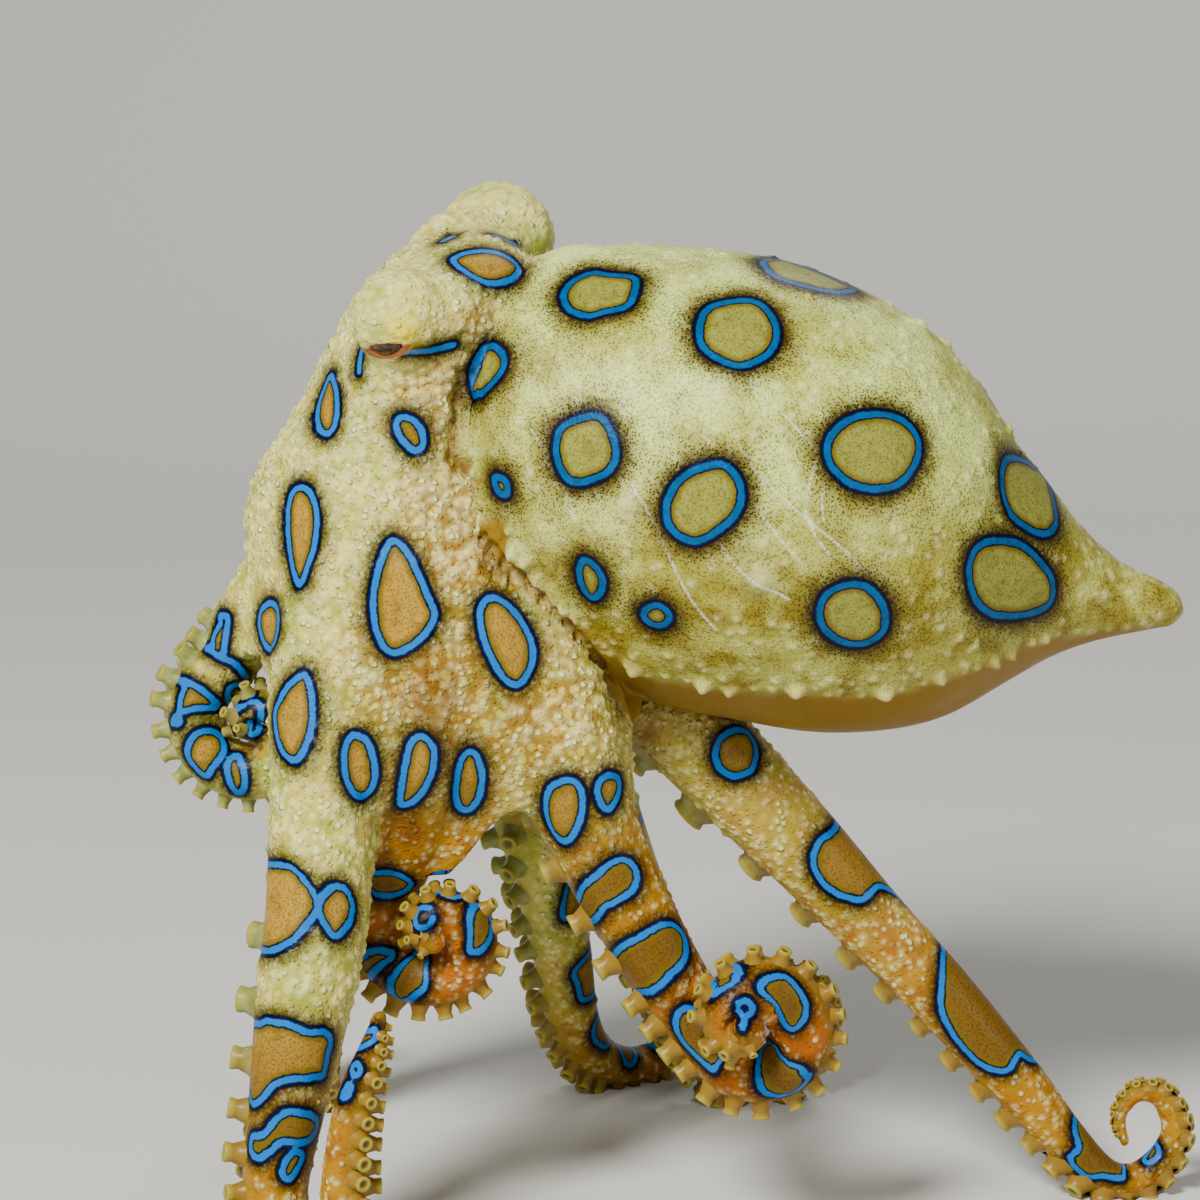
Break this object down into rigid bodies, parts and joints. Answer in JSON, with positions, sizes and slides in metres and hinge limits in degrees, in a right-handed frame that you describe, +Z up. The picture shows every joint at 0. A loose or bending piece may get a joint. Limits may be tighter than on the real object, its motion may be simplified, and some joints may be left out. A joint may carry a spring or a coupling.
{
  "type": "octopus model",
  "caption": "Small ringed octopus standing on its arms, mantle thrown back, with curled arm ends, webs between the arms and a turned siphon.",
  "frame": {"origin": "on the floor under the middle of the animal's bounding box", "axes": "+Z up; -X the way the head faces; +X the mantle's tip; -Y the animal's left side, which the picture shows"},
  "size_m": [0.0658, 0.0498, 0.0645],
  "materials": {
    "mantle": "moist skin",
    "head": "moist skin",
    "arm": "moist skin",
    "web": "moist skin",
    "eye": "wet",
    "mouth": "moist skin",
    "siphon": "moist skin"
  },
  "bodies": {
    "root": {"arm_L1_base": "arm", "arm_L1_lower": "arm", "arm_L1_middle": "arm", "arm_L1_tip": "arm", "arm_L1_upper": "arm", "arm_L2_base": "arm", "arm_L2_lower": "arm", "arm_L2_middle": "arm", "arm_L2_tip": "arm", "arm_L2_upper": "arm", "arm_L3_base": "arm", "arm_L3_lower": "arm", "arm_L3_middle": "arm", "arm_L3_tip": "arm", "arm_L3_upper": "arm", "arm_L4_base": "arm", "arm_L4_lower": "arm", "arm_L4_middle": "arm", "arm_L4_tip": "arm", "arm_L4_upper": "arm", "arm_R1_base": "arm", "arm_R1_lower": "arm", "arm_R1_middle": "arm", "arm_R1_tip": "arm", "arm_R1_upper": "arm", "arm_R2_base": "arm", "arm_R2_lower": "arm", "arm_R2_middle": "arm", "arm_R2_tip": "arm", "arm_R2_upper": "arm", "arm_R3_base": "arm", "arm_R3_lower": "arm", "arm_R3_middle": "arm", "arm_R3_tip": "arm", "arm_R3_upper": "arm", "arm_R4_base": "arm", "arm_R4_lower": "arm", "arm_R4_middle": "arm", "arm_R4_tip": "arm", "arm_R4_upper": "arm", "eye_left": "eye", "eye_right": "eye", "head": "head", "mantle": "mantle", "mouth": "mouth", "siphon": "siphon", "web_L1_L2": "web", "web_L2_L3": "web", "web_L3_L4": "web", "web_L4_R4": "web", "web_R1_L1": "web", "web_R2_R1": "web", "web_R3_R2": "web", "web_R4_R3": "web"}
  },
  "joints": []
}
